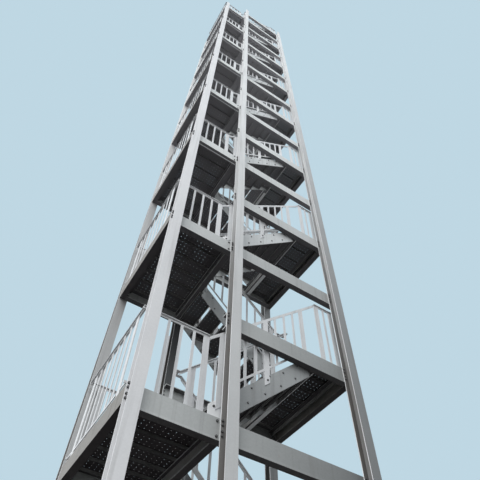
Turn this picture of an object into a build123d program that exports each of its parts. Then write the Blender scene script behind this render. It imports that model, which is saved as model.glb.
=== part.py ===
from build123d import *

import os
from math import atan, ceil, cos

# A fire escape stair tower in galvanised steel. Six wide-flange posts carry a switchback
# stair. The left bay has a landing half way up each storey, and the right bay has one at each
# storey, where people step out onto the stair. X runs along the front, Y to the back and Z up.
# The origin is on the ground, under the middle of the front left post. Sizes are millimetres.

# Stair
storeys = 9
rise = 200
going = 210
risers_per_flight = 7
flight_width = 630
well_gap = 80
half_turn = (0, 0, 180)

# Treads, folded from sheet, with a plate at each end
tread_depth = 240
tread_fold = 40
tread_sheet = 3
tread_end_plate = 5
tread_end_height = 60
tread_clearance = 0.3

# Stringers
stringer_height = 290
stringer_plate = 10
stringer_clearance = 10
stringer_lead = 21
stringer_corner_radius = 30

# Bays, from post axis to post axis
left_bay = 905
right_landing = 519
first_riser_lap = 110

# Posts
post_depth = 120
post_width = 120
post_flange = 11
post_web = 6.5
base_size = 300
base_thickness = 20
anchor_spacing = 220
anchor_hole_radius = 11

# Edge channels, with the web outwards
channel_depth = 220
side_channel_depth = 200
channel_flange_width = 80
channel_web = 9
channel_flange = 12.5

# Beams and angles under the planks
beam_depth = 160
beam_width = 82
beam_web = 5
beam_flange = 7.4
ledger_size = 60
ledger_thickness = 6

# Landing planks, each a sheet folded down along both long edges
planks_per_landing = 6
plank_fold = 40
plank_sheet = 3
plank_gap = 4
plank_end_gap = 2

# Railings: a flat cap on a flat bar, a bottom bar, wide standards and narrow balusters
half_landing_rail = 1000
full_landing_rail = 1080
flight_rail = 875
cap_width = 40
cap_thickness = 8
flight_cap_width = 36
flat_thickness = 8
top_bar_height = 25
bottom_bar_height = 25
landing_bar_gap = 30
flight_bar_gap = 85
standard_width = 70
flight_standard_width = 65
flight_standard_inset = 84
standard_foot = 110
baluster_width = 30
baluster_pitch = 145
pitch_slack = 0.01
left_front_spaces = 4
side_spaces = 9
landing_rail_inset = 8
side_rail_inset = 10
right_rail_lap = 10
guard_end_gap = 36

# Levels, and where the posts end
half_storey = rise * risers_per_flight
storey = 2 * half_storey
half_levels = [half_storey + storey * k for k in range(storeys)]
full_levels = [storey * (k + 1) for k in range(storeys)]
left_top = half_levels[-1]
right_top = full_levels[-1]

# Places along X
post_edge = post_width / 2
mid_beam_x = left_bay - post_edge
left_deck_edge = mid_beam_x + beam_width / 2
near_start = left_deck_edge - first_riser_lap
run = going * (risers_per_flight - 1)
right_deck_edge = near_start + run
far_start = right_deck_edge + first_riser_lap
turn_x = (near_start + far_start) / 2
trimmer_x = right_deck_edge + beam_width / 2
right_x = right_deck_edge + right_landing
left_face = -post_edge
right_face = right_x + post_edge
left_tip = left_face + channel_flange_width
right_tip = right_face - channel_flange_width

# Places along Y in the front half; the back half mirrors it about middle_y
channel_y = post_depth / 2
channel_tip_y = channel_y + channel_flange_width
outer_stringer_y = channel_tip_y + stringer_clearance
tread_y = outer_stringer_y + stringer_plate
inner_stringer_y = tread_y + flight_width
well_y = inner_stringer_y + stringer_plate
middle_y = well_y + well_gap / 2
back_y = 2 * middle_y
beam_y = channel_y + channel_web
beam_length = back_y - 2 * beam_y

# Slope of the flights, and how much a sloping bar thickens when it is measured upright
slope = rise / going
upright = 1 / cos(atan(slope))

# Where a flight's handrail comes level with each landing's, along the flight from its start
low_knee_half = (half_landing_rail - rise - flight_rail) / slope
low_knee_full = (full_landing_rail - rise - flight_rail) / slope
high_knee_half = (half_storey + half_landing_rail - rise - flight_rail) / slope
high_knee_full = (half_storey + full_landing_rail - rise - flight_rail) / slope

# Planes of the landing railings
landing_rail_y = channel_tip_y - landing_rail_inset
side_rail_x = left_face + side_rail_inset

# Mirrors the front half to the back half
back_mirror = Plane.XZ.offset(-middle_y)

os.makedirs("parts", exist_ok=True)


def nosing(x):
    """Height of the nosing line over a flight's own foot, at x from its first nosing."""
    return rise + x * slope


def levels_up(levels):
    """Places straight above one another, one for each level."""
    return [(0, 0, level) for level in levels]


def draw_outline(points):
    """A face inside the polygon through the points."""
    with BuildLine() as outline:
        Polyline(*points, close=True)
    make_face(outline.edges())


def draw_wide_flange(x, y, depth, width, web, flange):
    """An I or H section centred on a point, its flanges along the sketch's x axis."""
    with Locations((x, y)):
        Rectangle(width, depth)
    for side in (-1, 1):
        with Locations((x + side * (width + web) / 4, y)):
            Rectangle((width - web) / 2, depth - 2 * flange, mode=Mode.SUBTRACT)


def draw_channel(edge, side, top, depth):
    """A channel section with its web's outer face at edge and its flanges towards side."""
    web = edge + side * channel_web
    tip = edge + side * channel_flange_width
    bottom = top - depth
    draw_outline(
        [
            (edge, top),
            (tip, top),
            (tip, top - channel_flange),
            (web, top - channel_flange),
            (web, bottom + channel_flange),
            (tip, bottom + channel_flange),
            (tip, bottom),
            (edge, bottom),
        ]
    )


def draw_fold(start, width, top, fold, sheet):
    """The section of a sheet folded down along both edges."""
    end = start + width
    draw_outline(
        [
            (start, top),
            (end, top),
            (end, top - fold),
            (end - sheet, top - fold),
            (end - sheet, top - sheet),
            (start + sheet, top - sheet),
            (start + sheet, top - fold),
            (start, top - fold),
        ]
    )


def draw_box(left, right, bottom, top):
    """A rectangle between four edges."""
    with Locations(((left + right) / 2, (bottom + top) / 2)):
        Rectangle(right - left, top - bottom)


def even_places(first, last):
    """Places of the balusters between two standards, no further apart than their pitch."""
    spaces = ceil((last - first) / baluster_pitch - pitch_slack)
    return [first + (last - first) * n / spaces for n in range(1, spaces)]


def draw_level_panel(start, end, standards, balusters, height):
    """A landing panel's flat bars: top and bottom bars, standards and balusters."""
    bar_top = height - cap_thickness
    draw_box(start, end, bar_top - top_bar_height, bar_top)
    draw_box(start, end, landing_bar_gap, landing_bar_gap + bottom_bar_height)
    for place in standards:
        draw_box(place - standard_width / 2, place + standard_width / 2, 0, bar_top)
    for place in balusters:
        half = baluster_width / 2
        draw_box(place - half, place + half, landing_bar_gap, bar_top)


def draw_sloping_bar(start_x, end_x, top_offset, height):
    """A bar along a flight, its top edge at an offset over the nosing line."""
    deep = height * upright
    draw_outline(
        [
            (near_start + start_x, nosing(start_x) + top_offset),
            (near_start + end_x, nosing(end_x) + top_offset),
            (near_start + end_x, nosing(end_x) + top_offset - deep),
            (near_start + start_x, nosing(start_x) + top_offset - deep),
        ]
    )


def draw_flight_upright(x, width, low_offset, top_offset):
    """A standard or a baluster of a flight railing, cut along the slope at both ends."""
    left = x - width / 2
    right = x + width / 2
    draw_outline(
        [
            (near_start + left, nosing(left) + low_offset),
            (near_start + right, nosing(right) + low_offset),
            (near_start + right, nosing(right) + top_offset),
            (near_start + left, nosing(left) + top_offset),
        ]
    )


def make_base_plate(x, y):
    """A post's base plate, drilled for its anchors."""
    with BuildPart() as plate:
        with BuildSketch(Plane.XY.offset(0)):
            with Locations((x, y)):
                Rectangle(base_size, base_size)
                with GridLocations(anchor_spacing, anchor_spacing, 2, 2):
                    Circle(anchor_hole_radius, mode=Mode.SUBTRACT)
        extrude(amount=base_thickness)
    return plate


def make_post(x, y, top):
    """A post with its flanges facing the front and the back, from its base plate up."""
    with BuildPart() as post:
        with BuildSketch(Plane.XY.offset(base_thickness)):
            draw_wide_flange(x, y, post_depth, post_width, post_web, post_flange)
        extrude(amount=top - base_thickness)
    return post


def make_front_channel(start_x, end_x):
    """A channel along the front at floor level zero."""
    with BuildPart() as channel:
        with BuildSketch(Plane.YZ.offset(start_x)):
            draw_channel(channel_y, 1, 0, channel_depth)
        extrude(amount=end_x - start_x)
    return channel


def make_side_channel(edge, side, top, depth):
    """A channel from the front posts to the back posts, its outer face at edge."""
    with BuildPart() as channel:
        with BuildSketch(Plane.XZ.offset(-channel_y)):
            draw_channel(edge, side, top, depth)
        extrude(amount=2 * channel_y - back_y)
    return channel


def make_beam(x):
    """A beam between the front and the back channels, its top under the planks."""
    with BuildPart() as beam:
        with BuildSketch(Plane.XZ.offset(-beam_y)):
            middle = -plank_fold - beam_depth / 2
            draw_wide_flange(x, middle, beam_depth, beam_width, beam_web, beam_flange)
        extrude(amount=-beam_length)
    return beam


def make_ledger(corner, side):
    """The angle under the planks' outer ends, between the front and the back channels."""
    top = -plank_fold
    with BuildPart() as ledger:
        with BuildSketch(Plane.XZ.offset(-beam_y)):
            draw_outline(
                [
                    (corner, top),
                    (corner + side * ledger_size, top),
                    (corner + side * ledger_size, top - ledger_thickness),
                    (corner + side * ledger_thickness, top - ledger_thickness),
                    (corner + side * ledger_thickness, top - ledger_size),
                    (corner, top - ledger_size),
                ]
            )
        extrude(amount=-beam_length)
    return ledger


def make_planks(start_x, end_x):
    """The row of planks of one landing at floor level zero."""
    pitch = (back_y - 2 * outer_stringer_y) / planks_per_landing
    first_y = outer_stringer_y + plank_gap / 2
    with BuildPart() as planks:
        with BuildSketch(Plane.YZ.offset(start_x)):
            for row in range(planks_per_landing):
                draw_fold(first_y + row * pitch, pitch - plank_gap, 0, plank_fold, plank_sheet)
        extrude(amount=end_x - start_x)
    return planks


def make_stringer(y):
    """A stringer of the near flight, cut upright where it meets the upper landing."""
    foot = near_start - stringer_lead
    lift = (stringer_height - rise) / slope
    with BuildPart() as stringer:
        with BuildSketch(Plane.XZ.offset(-y)) as side:
            draw_outline(
                [
                    (foot, 0),
                    (near_start + lift, 0),
                    (right_deck_edge, half_storey - stringer_height),
                    (right_deck_edge, half_storey),
                    (foot, nosing(-stringer_lead)),
                ]
            )
            lower_end = side.vertices().group_by(Axis.X)[0]
            corner = lower_end.sort_by(Axis.Y)[-1]
            fillet(corner, radius=stringer_corner_radius)
        extrude(amount=-stringer_plate)
    return stringer


def make_tread():
    """The near flight's first tread."""
    start_y = tread_y + tread_clearance
    width = flight_width - 2 * tread_clearance
    end_x = near_start + tread_depth
    with BuildPart() as tread:
        with BuildSketch(Plane.XZ.offset(-start_y)):
            draw_fold(near_start, tread_depth, rise, tread_fold, tread_sheet)
        extrude(amount=-width)
        for y in (start_y, start_y + width - tread_end_plate):
            with BuildSketch(Plane.XZ.offset(-y)):
                draw_box(near_start, end_x, rise - tread_end_height, rise)
            extrude(amount=-tread_end_plate)
    return tread


def make_level_panel(y, start, end, standards, balusters, height):
    """A landing railing along X, its flat bars centred on y."""
    with BuildPart() as panel:
        with BuildSketch(Plane.XZ.offset(flat_thickness / 2 - y)):
            draw_level_panel(start, end, standards, balusters, height)
        extrude(amount=-flat_thickness)
        with BuildSketch(Plane.XY.offset(height - cap_thickness)):
            draw_box(start, end, y - cap_width / 2, y + cap_width / 2)
        extrude(amount=cap_thickness)
    return panel


def make_flight_panel(bar_y, cap_y, cap, low_knee, high_knee):
    """A flight railing: its flat bars' front face at bar_y and its cap's front edge at cap_y."""
    last = run - flight_standard_width / 2
    middle = (flight_standard_inset + last) / 2
    bar_top = flight_rail - cap_thickness * upright
    with BuildPart() as panel:
        with BuildSketch(Plane.XZ.offset(-bar_y)):
            draw_sloping_bar(low_knee, high_knee, bar_top, top_bar_height)
            bottom_bar_top = flight_bar_gap + bottom_bar_height * upright
            first_edge = flight_standard_inset - flight_standard_width / 2
            draw_sloping_bar(first_edge, run, bottom_bar_top, bottom_bar_height)
            for x in (flight_standard_inset, middle, last):
                draw_flight_upright(x, flight_standard_width, -standard_foot, bar_top)
            for x in even_places(flight_standard_inset, middle) + even_places(middle, last):
                draw_flight_upright(x, baluster_width, flight_bar_gap, bar_top)
        extrude(amount=-flat_thickness)
        with BuildSketch(Plane.XZ.offset(-cap_y)):
            draw_sloping_bar(low_knee, high_knee, flight_rail, cap_thickness)
        extrude(amount=-cap)
    return panel


def stack(piece, levels):
    """One storey's piece, repeated at each level."""
    with BuildPart() as copies:
        with Locations(*levels_up(levels)):
            add(piece.part)
    return copies


def stack_turned(piece, levels):
    """The piece of a near flight, turned round to the far flight below each half landing."""
    places = [(2 * turn_x, back_y, level - half_storey) for level in levels]
    with BuildPart() as copies:
        with Locations(*[Location(place, half_turn) for place in places]):
            add(piece.part)
    return copies


def mirror_back(piece):
    """The same piece in the back half."""
    with BuildPart() as copy:
        mirror(piece.part, about=back_mirror)
    return copy


def save(piece, name):
    """Labels a piece and writes it as a file of its own."""
    piece.part.label = name
    export_step(piece.part, f"parts/{name}.step")


# Posts, each on a base plate
with BuildPart() as base_plates:
    for post_x in (0, left_bay, right_x):
        for post_y in (0, back_y):
            add(make_base_plate(post_x, post_y).part)
save(base_plates, "base_plates")
save(make_post(0, 0, left_top), "front_left_post")
save(make_post(left_bay, 0, right_top), "front_mid_post")
save(make_post(right_x, 0, right_top), "front_right_post")
save(make_post(0, back_y, left_top), "back_left_post")
save(make_post(left_bay, back_y, right_top), "back_mid_post")
save(make_post(right_x, back_y, right_top), "back_right_post")

# Front and back channels: the full width at half landings, the right bay at full landings
half_channel = make_front_channel(left_tip, right_face)
full_channel = make_front_channel(left_bay - post_edge, right_tip)
with BuildPart() as front_channels:
    with Locations(*levels_up(half_levels)):
        add(half_channel.part)
    with Locations(*levels_up(full_levels)):
        add(full_channel.part)
save(front_channels, "front_channels")
save(mirror_back(front_channels), "back_channels")

# Side channels, beams and ledgers
side_top = side_channel_depth - channel_depth
left_side = make_side_channel(left_face, 1, side_top, side_channel_depth)
right_side = make_side_channel(right_face, -1, 0, channel_depth)
save(stack(left_side, half_levels), "left_side_channels")
save(stack(right_side, full_levels), "right_side_channels")
save(stack(make_beam(mid_beam_x), half_levels), "left_landing_beams")
save(stack(make_beam(trimmer_x), full_levels), "right_landing_beams")
save(stack(make_ledger(left_tip, 1), half_levels), "left_ledgers")
save(stack(make_ledger(right_tip, -1), full_levels), "right_ledgers")

# Planks
left_planks = make_planks(left_tip + plank_end_gap, left_deck_edge)
right_planks = make_planks(right_deck_edge, right_tip - plank_end_gap)
save(stack(left_planks, half_levels), "left_landing_planks")
save(stack(right_planks, full_levels), "right_landing_planks")

# Flights: two stringers and the treads between them
tread = make_tread()
with BuildPart() as flight:
    add(make_stringer(outer_stringer_y).part)
    add(make_stringer(inner_stringer_y).part)
    with Locations(*[(going * n, 0, rise * n) for n in range(risers_per_flight - 1)]):
        add(tread.part)
for number, level in enumerate(half_levels, start=1):
    save(stack(flight, [level]), f"near_flight_{number}")
    save(stack_turned(flight, [level]), f"far_flight_{number}")

# Flight railings, on the outer faces of the stringers and on their faces in the well
outer_bar_y = outer_stringer_y - flat_thickness
inner_cap_y = well_y + (flat_thickness - cap_width) / 2
near_outer = make_flight_panel(
    outer_bar_y, outer_bar_y, flight_cap_width, low_knee_half, high_knee_full
)
near_inner = make_flight_panel(well_y, inner_cap_y, cap_width, low_knee_half, high_knee_full)
far_outer = make_flight_panel(
    outer_bar_y, outer_bar_y, flight_cap_width, low_knee_full, high_knee_half
)
far_inner = make_flight_panel(well_y, inner_cap_y, cap_width, low_knee_full, high_knee_half)
save(stack(near_outer, half_levels), "near_outer_railings")
save(stack(near_inner, half_levels), "near_inner_railings")
save(stack_turned(far_outer, half_levels), "far_outer_railings")
save(stack_turned(far_inner, half_levels), "far_inner_railings")

# Left landing railings: front, back and side
front_end = near_start + low_knee_half
back_end = far_start - high_knee_half
front_standard = front_end - standard_width / 2
back_standard = back_end - standard_width / 2
corner_standard = front_standard - left_front_spaces * baluster_pitch
corner_x = side_rail_x - cap_width / 2
left_front = make_level_panel(
    landing_rail_y,
    corner_x,
    front_end,
    [corner_standard, front_standard],
    even_places(corner_standard, front_standard),
    half_landing_rail,
)
left_back = make_level_panel(
    landing_rail_y,
    corner_x,
    back_end,
    [corner_standard, back_standard],
    even_places(corner_standard, back_standard),
    half_landing_rail,
)
save(stack(left_front, half_levels), "left_front_railings")
save(mirror_back(stack(left_back, half_levels)), "left_back_railings")

side_start = landing_rail_y + flat_thickness / 2
side_pitch = (back_y - 2 * landing_rail_y) / side_spaces
side_places = [landing_rail_y + side_pitch * n for n in range(1, side_spaces)]
with BuildPart() as left_side_panel:
    with BuildSketch(Plane.YZ.offset(side_rail_x - flat_thickness / 2)):
        draw_level_panel(
            side_start,
            back_y - side_start,
            [side_places[0], side_places[-1]],
            side_places[1:-1],
            half_landing_rail,
        )
        for place in (side_places[0], side_places[-1]):
            half = standard_width / 2
            draw_box(place - half, place + half, side_top, landing_bar_gap)
    extrude(amount=flat_thickness)
    with BuildSketch(Plane.XY.offset(half_landing_rail - cap_thickness)):
        cap_edge = landing_rail_y + cap_width / 2
        half = cap_width / 2
        draw_box(side_rail_x - half, side_rail_x + half, cap_edge, back_y - cap_edge)
    extrude(amount=cap_thickness)
save(stack(left_side_panel, half_levels), "left_side_railings")

# Right landing railings: front and back, and a guard over the last flight's well at the top
right_end = right_x + right_rail_lap
end_standard = right_end - standard_width / 2
right_front_start = near_start + high_knee_full
right_back_start = far_start - low_knee_full
right_front_standard = right_front_start + standard_width / 2
right_back_standard = right_back_start + standard_width / 2
right_front = make_level_panel(
    landing_rail_y,
    right_front_start,
    right_end,
    [right_front_standard, end_standard],
    even_places(right_front_standard, end_standard),
    full_landing_rail,
)
right_back = make_level_panel(
    landing_rail_y,
    right_back_start,
    right_end,
    [right_back_standard, end_standard],
    even_places(right_back_standard, end_standard),
    full_landing_rail,
)
save(stack(right_front, full_levels), "right_front_railings")
save(mirror_back(stack(right_back, full_levels)), "right_back_railings")

guard_start = well_y + well_gap / 2
guard_end = back_y - landing_rail_y - cap_width / 2
guard_first = guard_start + guard_end_gap
guard_last = back_y - outer_stringer_y - guard_end_gap - plank_gap
with BuildPart() as top_guard_railing:
    with BuildSketch(Plane.YZ.offset(right_back_start - flat_thickness)):
        draw_level_panel(
            guard_start,
            guard_end,
            [guard_first, guard_last],
            even_places(guard_first, guard_last),
            full_landing_rail,
        )
    extrude(amount=flat_thickness)
    with BuildSketch(Plane.XY.offset(full_landing_rail - cap_thickness)):
        draw_box(right_back_start - cap_width, right_back_start, guard_start, guard_end)
        draw_box(right_back_start - cap_width, right_back_start, guard_end, guard_end + cap_width)
    extrude(amount=cap_thickness)
save(stack(top_guard_railing, [right_top]), "top_guard_railing")

# Handrail returns round the well, from one flight's inner railing to the next one's
far_cap_y = back_y - inner_cap_y - cap_width
with BuildPart() as half_return:
    with BuildSketch(Plane.XY.offset(half_landing_rail - cap_thickness)):
        draw_box(front_end - cap_width, front_end, inner_cap_y, far_cap_y + cap_width)
        draw_box(front_end, back_end, far_cap_y, far_cap_y + cap_width)
    extrude(amount=cap_thickness)
with BuildPart() as full_return:
    with BuildSketch(Plane.XY.offset(full_landing_rail - cap_thickness)):
        return_end = right_front_start + cap_width
        draw_box(right_front_start, return_end, inner_cap_y, far_cap_y + cap_width)
        draw_box(right_back_start, right_front_start, far_cap_y, far_cap_y + cap_width)
    extrude(amount=cap_thickness)
with BuildPart() as rail_returns:
    with Locations(*levels_up(half_levels)):
        add(half_return.part)
    with Locations(*levels_up(full_levels[:-1])):
        add(full_return.part)
save(rail_returns, "rail_returns")
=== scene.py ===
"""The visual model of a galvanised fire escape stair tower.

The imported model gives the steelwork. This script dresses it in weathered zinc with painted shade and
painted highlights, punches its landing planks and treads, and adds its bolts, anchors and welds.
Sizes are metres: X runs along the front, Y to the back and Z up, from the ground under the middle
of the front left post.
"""

import logging
from collections.abc import Callable, Iterable
from dataclasses import dataclass, replace
from enum import Enum
from math import cos, pi, sin, sqrt

import bmesh
import bpy
from mathutils import Matrix, Vector


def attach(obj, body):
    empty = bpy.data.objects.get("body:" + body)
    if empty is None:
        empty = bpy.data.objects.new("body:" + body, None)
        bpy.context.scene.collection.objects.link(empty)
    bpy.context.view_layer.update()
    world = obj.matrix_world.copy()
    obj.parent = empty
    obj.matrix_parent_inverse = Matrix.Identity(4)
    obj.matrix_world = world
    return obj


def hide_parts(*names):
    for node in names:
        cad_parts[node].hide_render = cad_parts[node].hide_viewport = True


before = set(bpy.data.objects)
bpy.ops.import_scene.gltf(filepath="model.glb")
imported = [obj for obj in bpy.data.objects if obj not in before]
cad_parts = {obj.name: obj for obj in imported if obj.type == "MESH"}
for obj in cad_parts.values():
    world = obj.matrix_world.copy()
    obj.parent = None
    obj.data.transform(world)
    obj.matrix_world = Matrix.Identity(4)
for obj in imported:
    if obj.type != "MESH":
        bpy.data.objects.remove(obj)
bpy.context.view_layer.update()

Piece = bpy.types.Object
Place = tuple[float, float, float]
Colour = tuple[float, float, float, float]

# Places that are closer together than this are one place.
SAME = 1e-5

log = logging.getLogger("stair_tower")


class Facing(Enum):
    """Which way a fastener's head looks, as the turn that takes it there from looking up."""

    UP = (0.0, 0.0, 0.0)
    FRONT = (pi / 2, 0.0, 0.0)
    BACK = (-pi / 2, 0.0, 0.0)


class Slot(Enum):
    """The model's material slots."""

    FRAME = "frame_steel"
    SHEET = "sheet_steel"
    FLIGHT = "flight_steel"
    RAIL = "rail_steel"


class Signal:
    """A shader value that can be reckoned with like a number."""

    def __init__(self, recipe: "Recipe", socket: bpy.types.NodeSocket) -> None:
        """Keeps the output socket that carries the value, and the recipe that it is in."""
        self.recipe = recipe
        self.socket = socket

    def _math(self, operation: str, *values: "Signal | float") -> "Signal":
        """The result of one Math node, with its inputs in order."""
        return self.recipe.node("ShaderNodeMath", {"operation": operation}, dict(enumerate(values)))

    def __add__(self, other: "Signal | float") -> "Signal":
        """This plus another."""
        return self._math("ADD", self, other)

    def __radd__(self, other: float) -> "Signal":
        """A number plus this."""
        return self._math("ADD", other, self)

    def __sub__(self, other: "Signal | float") -> "Signal":
        """This less another."""
        return self._math("SUBTRACT", self, other)

    def __rsub__(self, other: float) -> "Signal":
        """A number less this."""
        return self._math("SUBTRACT", other, self)

    def __mul__(self, other: "Signal | float") -> "Signal":
        """This times another."""
        return self._math("MULTIPLY", self, other)

    def __rmul__(self, other: float) -> "Signal":
        """A number times this."""
        return self._math("MULTIPLY", other, self)

    def __truediv__(self, other: "Signal | float") -> "Signal":
        """This over another."""
        return self._math("DIVIDE", self, other)

    def __rtruediv__(self, other: float) -> "Signal":
        """A number over this."""
        return self._math("DIVIDE", other, self)

    def __abs__(self) -> "Signal":
        """This without its sign."""
        return self._math("ABSOLUTE", self)

    def __lt__(self, other: "Signal | float") -> "Signal":
        """1 where this is less than another, and else 0."""
        return self._math("LESS_THAN", self, other)

    def __gt__(self, other: "Signal | float") -> "Signal":
        """1 where this is more than another, and else 0."""
        return self._math("GREATER_THAN", self, other)

    def over(self, other: "Signal | float") -> "Signal":
        """The larger of this and another."""
        return self._math("MAXIMUM", self, other)

    def root(self) -> "Signal":
        """The square root of this."""
        return self._math("SQRT", self)

    def fraction(self) -> "Signal":
        """What is left of this past the last whole number."""
        return self._math("FRACT", self)

    def rise(self, low: float, high: float) -> "Signal":
        """A smooth rise from 0 to 1 as this goes from low to high.

        Args:
            low: Where the rise begins.
            high: Where it ends. It may be less than low, for a fall.

        Returns:
            A value from 0 to 1.
        """
        settings = {"interpolation_type": "SMOOTHSTEP"}
        inputs = {"Value": self, "From Min": low, "From Max": high}
        return self.recipe.node("ShaderNodeMapRange", settings, inputs)

    def between(self, first: "Signal | Colour", second: "Signal | Colour") -> "Signal":
        """A colour that goes from the first to the second as this goes from 0 to 1."""
        inputs = {0: self, 6: first, 7: second}
        return self.recipe.node("ShaderNodeMix", {"data_type": "RGBA"}, inputs, 2)

    def clouds(self, scale: float, detail: float) -> "Signal":
        """Cloudy noise from 0 to 1 at this place, with so many clouds to a metre and finer layers."""
        inputs = {"Vector": self, "Scale": scale, "Detail": detail}
        return self.recipe.node("ShaderNodeTexNoise", {}, inputs)

    def crystals(self, width: float) -> "Signal":
        """A shade from 0 to 1 for each crystal of that width at this place."""
        inputs = {"Vector": self, "Scale": 1 / width}
        return self.recipe.node("ShaderNodeTexVoronoi", {}, inputs, "Color").axes()[0]

    def stretched(self, scale: Place) -> "Signal":
        """This place, scaled along the axes."""
        return self.recipe.node("ShaderNodeMapping", {}, {"Vector": self, "Scale": scale})

    def axes(self) -> "tuple[Signal, Signal, Signal]":
        """Takes a place, a direction or a colour apart.

        Returns:
            Its three parts.
        """
        first = self.recipe.node("ShaderNodeSeparateXYZ", {}, {0: self})
        outputs = first.socket.node.outputs
        return first, Signal(self.recipe, outputs[1]), Signal(self.recipe, outputs[2])


class Recipe:
    """A node tree that is written down node by node."""

    def __init__(self, tree: bpy.types.NodeTree) -> None:
        """Takes a material's or a world's node tree to write in."""
        self.tree = tree

    def node(
        self,
        kind: str,
        settings: dict[str, object] | None = None,
        inputs: dict[int | str, object] | None = None,
        output: int | str = 0,
    ) -> Signal:
        """Adds a node.

        Args:
            kind: The node's type.
            settings: Its properties, which are set first.
            inputs: Values or signals for its sockets, by name or number.
            output: The output that is wanted.

        Returns:
            That output.
        """
        made = self.tree.nodes.new(kind)
        for name, value in (settings or {}).items():
            setattr(made, name, value)
        for name, value in (inputs or {}).items():
            self.feed(made.inputs[name], value)
        return Signal(self, made.outputs[output])

    def feed(self, socket: bpy.types.NodeSocket, value: object) -> None:
        """Links a signal to a socket, or sets the socket to a plain value.

        Args:
            socket: The input socket.
            value: The signal or the plain value.
        """
        if isinstance(value, Signal):
            self.tree.links.new(value.socket, socket)
        else:
            socket.default_value = value


@dataclass(frozen=True)
class Spot:
    """A point of a surface: its place, the way that it faces and the noise there.

    Attributes:
        where: The coordinates.
        across: The place along X.
        deep: The place along Y.
        height: The height above the ground.
        along: How far the surface looks along X.
        ahead: How far it looks along Y, to the back.
        upright: How far it looks up.
        patches: Broad clouds, about a metre wide.
        fine: Small clouds, a few centimetres wide.
        crystals: The shades of the zinc's crystals.
    """

    where: Signal
    across: Signal
    deep: Signal
    height: Signal
    along: Signal
    ahead: Signal
    upright: Signal
    patches: Signal
    fine: Signal
    crystals: Signal

    @classmethod
    def found(cls, recipe: Recipe, crystal: float) -> "Spot":
        """Reads the place and the normal, and adds the noise.

        Args:
            recipe: The node tree.
            crystal: How wide a crystal is.

        Returns:
            The point.
        """
        where = recipe.node("ShaderNodeTexCoord", output="Object")
        normal = recipe.node("ShaderNodeNewGeometry", output="Normal")
        patches = where.clouds(scale=1.1, detail=5.0)
        fine = where.clouds(scale=23.0, detail=4.0)
        return cls(where, *where.axes(), *normal.axes(), patches, fine, where.crystals(crystal))

    def uneven(self, spread: float) -> Signal:
        """A factor about 1, which the patches move by half the spread each way."""
        return self.patches * spread + (1.0 - spread / 2)


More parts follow.
